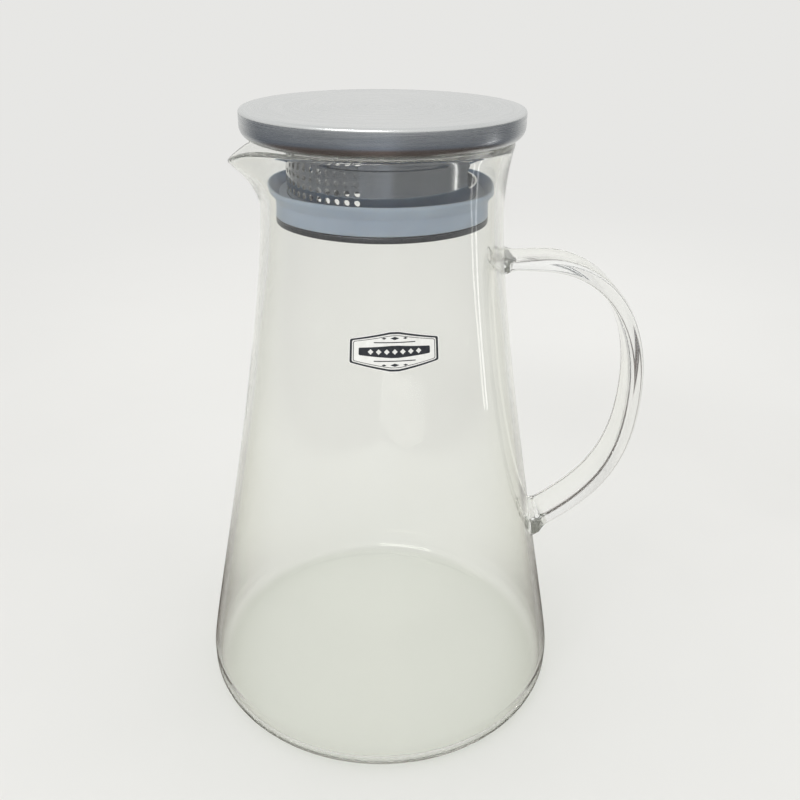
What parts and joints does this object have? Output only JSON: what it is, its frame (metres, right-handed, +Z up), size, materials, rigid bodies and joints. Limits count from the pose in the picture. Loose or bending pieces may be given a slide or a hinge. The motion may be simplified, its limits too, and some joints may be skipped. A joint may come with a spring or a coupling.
{
  "type": "glass jug with strainer lid",
  "caption": "Clear conical glass jug with a pulled pouring lip and a fused strip handle, closed by a brushed steel lid with a strainer tube and a silicone seal.",
  "frame": {"origin": "centre of the flat base, on the surface that the jug stands on", "axes": "+Z up through the lid, +X towards the handle, -X towards the pouring lip, -Y towards the front with the label"},
  "size_m": [0.1775, 0.15, 0.24],
  "materials": {
    "glass": "clear borosilicate glass, fire-polished",
    "label": "printed paper sticker, satin",
    "brushed_steel": "fine brushed stainless steel",
    "polished_steel": "polished stainless steel",
    "dark_steel": "dark satin steel",
    "silicone": "pale translucent silicone, satin"
  },
  "bodies": {
    "jug": {"glass_jug": "glass", "label": "label"},
    "seal": {"seal_ring": "silicone"},
    "lid": {"lid_cap": "brushed_steel", "lid_plate": "polished_steel", "strainer": "polished_steel", "strainer_foot": "dark_steel"}
  },
  "joints": [
    {"name": "lid_lift", "type": "slide", "parent": "jug", "child": "seal", "axis": [0, 0, 1], "range_m": [0, 0.06]},
    {"name": "lid_turn", "type": "hinge", "parent": "seal", "child": "lid", "pos_m": [0, 0, 0.215], "axis": [0, 0, 1], "continuous": true}
  ]
}
